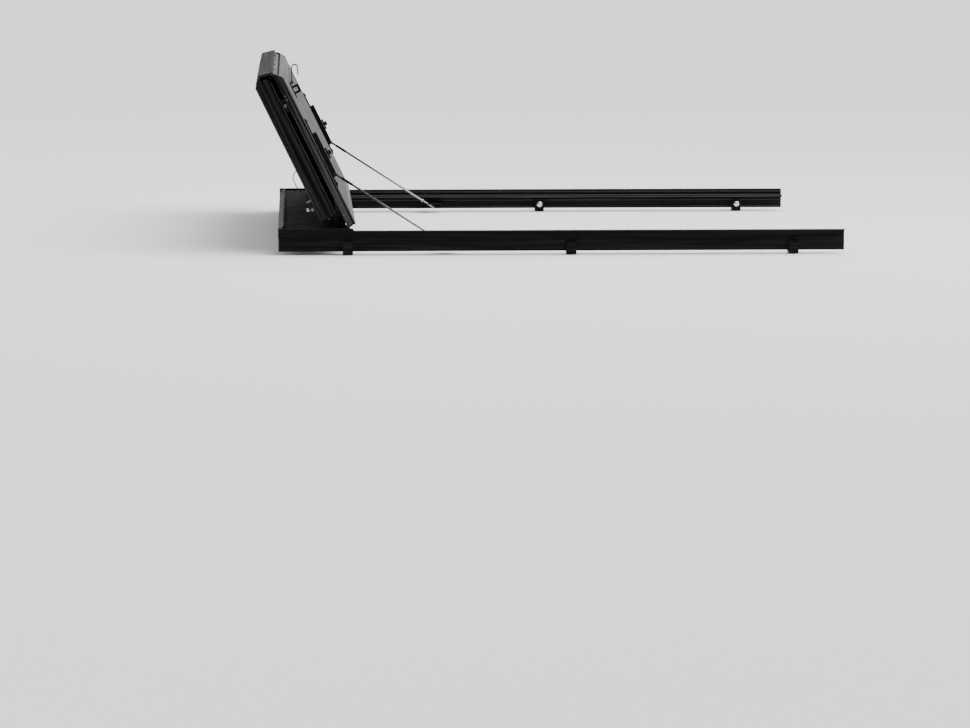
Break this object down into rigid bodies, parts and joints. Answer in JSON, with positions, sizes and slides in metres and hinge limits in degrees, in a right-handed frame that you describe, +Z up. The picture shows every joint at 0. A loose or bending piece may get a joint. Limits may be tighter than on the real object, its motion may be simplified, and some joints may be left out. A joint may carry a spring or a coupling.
{
  "type": "tonneau cover",
  "caption": "Hard folding pickup bed cover, folded into a stack that leans on prop rods, with side rails, clamps, spring latches and a double-hinge spacer.",
  "frame": {"origin": "middle of the seat face under the bulkhead seal, on the cover's centre plane", "axes": "+X from the cab to the tailgate, +Y from the left rail to the right rail, +Z up"},
  "size_m": [1.7732, 1.494, 0.5529],
  "materials": {
    "black_aluminium": "satin",
    "grey_aluminium": "satin",
    "spacer_grey": "satin",
    "top_skin": "matte",
    "under_skin": "matte",
    "core": "matte",
    "rubber": "matte",
    "black_plastic": "satin",
    "black_steel": "satin",
    "zinc_steel": "satin",
    "rod_steel": "satin",
    "chrome": "polished"
  },
  "bodies": {
    "rails": {"bulkhead_seal": "rubber", "ramp_extrusion": "black_aluminium", "front_top_skin": "top_skin", "front_core": "core", "front_under_skin": "under_skin", "front_side_frames": "black_aluminium", "front_hinge_extrusion": "black_aluminium", "front_side_seals": "rubber", "front_hinge_pin": "zinc_steel", "side_rail_left": "black_aluminium", "side_rail_right": "black_aluminium", "rail_seals": "rubber", "rail_end_caps": "black_plastic", "drain_spouts": "black_plastic", "rail_clamps": "black_aluminium", "clamp_bolts": "chrome", "front_anchors": "black_aluminium", "rod_receivers": "black_steel"},
    "second_panel": {"second_top_skin": "top_skin", "second_core": "core", "second_under_skin": "under_skin", "second_side_frames": "black_aluminium", "second_front_extrusion": "black_aluminium", "second_rear_extrusion": "grey_aluminium", "rod_brackets": "black_steel", "rod_pivot_pins": "black_steel", "bracket_screws": "black_steel", "hook_anchor": "black_steel"},
    "spacer": {"spacer_extrusion": "spacer_grey", "spacer_end_caps": "black_plastic", "spacer_pins": "zinc_steel"},
    "folded_pair": {"third_top_skin": "top_skin", "third_core": "core", "third_under_skin": "under_skin", "third_side_frames": "black_aluminium", "third_front_extrusion": "grey_aluminium", "third_rear_extrusion": "black_aluminium", "rear_hinge_pin": "zinc_steel", "rear_top_skin": "top_skin", "rear_core": "core", "rear_under_skin": "under_skin", "rear_side_frames": "black_aluminium", "rear_front_extrusion": "black_aluminium", "tail_extrusion": "black_aluminium", "tail_seal": "rubber", "third_latch_housings": "black_plastic", "third_latch_springs": "zinc_steel", "third_release_cable": "zinc_steel", "rear_latch_housings": "black_plastic", "rear_latch_springs": "zinc_steel", "rear_release_cable": "zinc_steel"},
    "prop_rod_left": {"prop_rod_left": "rod_steel"},
    "prop_rod_right": {"prop_rod_right": "rod_steel"},
    "rod_lock_left": {"rod_lock_left": "black_plastic"},
    "rod_lock_right": {"rod_lock_right": "black_plastic"},
    "third_bolt_left": {"third_bolt_left": "chrome"},
    "third_bolt_right": {"third_bolt_right": "chrome"},
    "rear_bolt_left": {"rear_bolt_left": "chrome"},
    "rear_bolt_right": {"rear_bolt_right": "chrome"},
    "strap_hook": {"strap_hook": "zinc_steel"}
  },
  "joints": [
    {"name": "stack_flip", "type": "hinge", "parent": "rails", "child": "second_panel", "pos_m": [0.192, 0, 0.0339], "axis": [0, 1, 0], "range_deg": [0, 114.7]},
    {"name": "spacer_fold", "type": "hinge", "parent": "second_panel", "child": "spacer", "pos_m": [-0.03551, 0, 0.50037], "axis": [0, 1, 0], "range_deg": [0, 78]},
    {"name": "pair_fold", "type": "hinge", "parent": "spacer", "child": "folded_pair", "pos_m": [-0.07433, 0, 0.4907], "axis": [0, 1, 0], "range_deg": [0, 102]},
    {"name": "prop_rod_left_swing", "type": "hinge", "parent": "second_panel", "child": "prop_rod_left", "pos_m": [0.15071, -0.678, 0.20068], "axis": [0, 1, 0], "range_deg": [-148.8, 0]},
    {"name": "prop_rod_right_swing", "type": "hinge", "parent": "second_panel", "child": "prop_rod_right", "pos_m": [0.15071, 0.678, 0.20068], "axis": [0, 1, 0], "range_deg": [-148.8, 0]},
    {"name": "rod_lock_left_turn", "type": "hinge", "parent": "second_panel", "child": "rod_lock_left", "pos_m": [0.0903, -0.664, 0.24242], "axis": [-0.8988, 0, -0.4384], "range_deg": [0, 90]},
    {"name": "rod_lock_right_turn", "type": "hinge", "parent": "second_panel", "child": "rod_lock_right", "pos_m": [0.0903, 0.664, 0.24242], "axis": [-0.8988, 0, -0.4384], "range_deg": [0, 90]},
    {"name": "third_bolt_left_slide", "type": "slide", "parent": "folded_pair", "child": "third_bolt_left", "axis": [0, 1, 0], "range_m": [0, 0.013], "stiffness_N_per_m": 800, "springref_m": -0.005, "deforming": ["third_latch_springs"]},
    {"name": "third_bolt_right_slide", "type": "slide", "parent": "folded_pair", "child": "third_bolt_right", "axis": [0, -1, 0], "range_m": [0, 0.013], "stiffness_N_per_m": 800, "springref_m": -0.005},
    {"name": "rear_bolt_left_slide", "type": "slide", "parent": "folded_pair", "child": "rear_bolt_left", "axis": [0, 1, 0], "range_m": [0, 0.013], "stiffness_N_per_m": 800, "springref_m": -0.005, "deforming": ["rear_latch_springs"]},
    {"name": "rear_bolt_right_slide", "type": "slide", "parent": "folded_pair", "child": "rear_bolt_right", "axis": [0, -1, 0], "range_m": [0, 0.013], "stiffness_N_per_m": 800, "springref_m": -0.005},
    {"name": "hook_swing", "type": "hinge", "parent": "second_panel", "child": "strap_hook", "pos_m": [0.02211, -0.36, 0.45727], "axis": [0, 1, 0], "range_deg": [-15, 75]}
  ],
  "couplings": [
    {"joint": "spacer_fold", "follows": "stack_flip", "ratio": 0.67995},
    {"joint": "pair_fold", "follows": "stack_flip", "ratio": 0.88919},
    {"joint": "prop_rod_left_swing", "follows": "stack_flip", "ratio": -1.2972},
    {"joint": "prop_rod_right_swing", "follows": "stack_flip", "ratio": -1.2972},
    {"joint": "third_bolt_right_slide", "follows": "third_bolt_left_slide", "ratio": 1},
    {"joint": "rear_bolt_right_slide", "follows": "rear_bolt_left_slide", "ratio": 1}
  ]
}
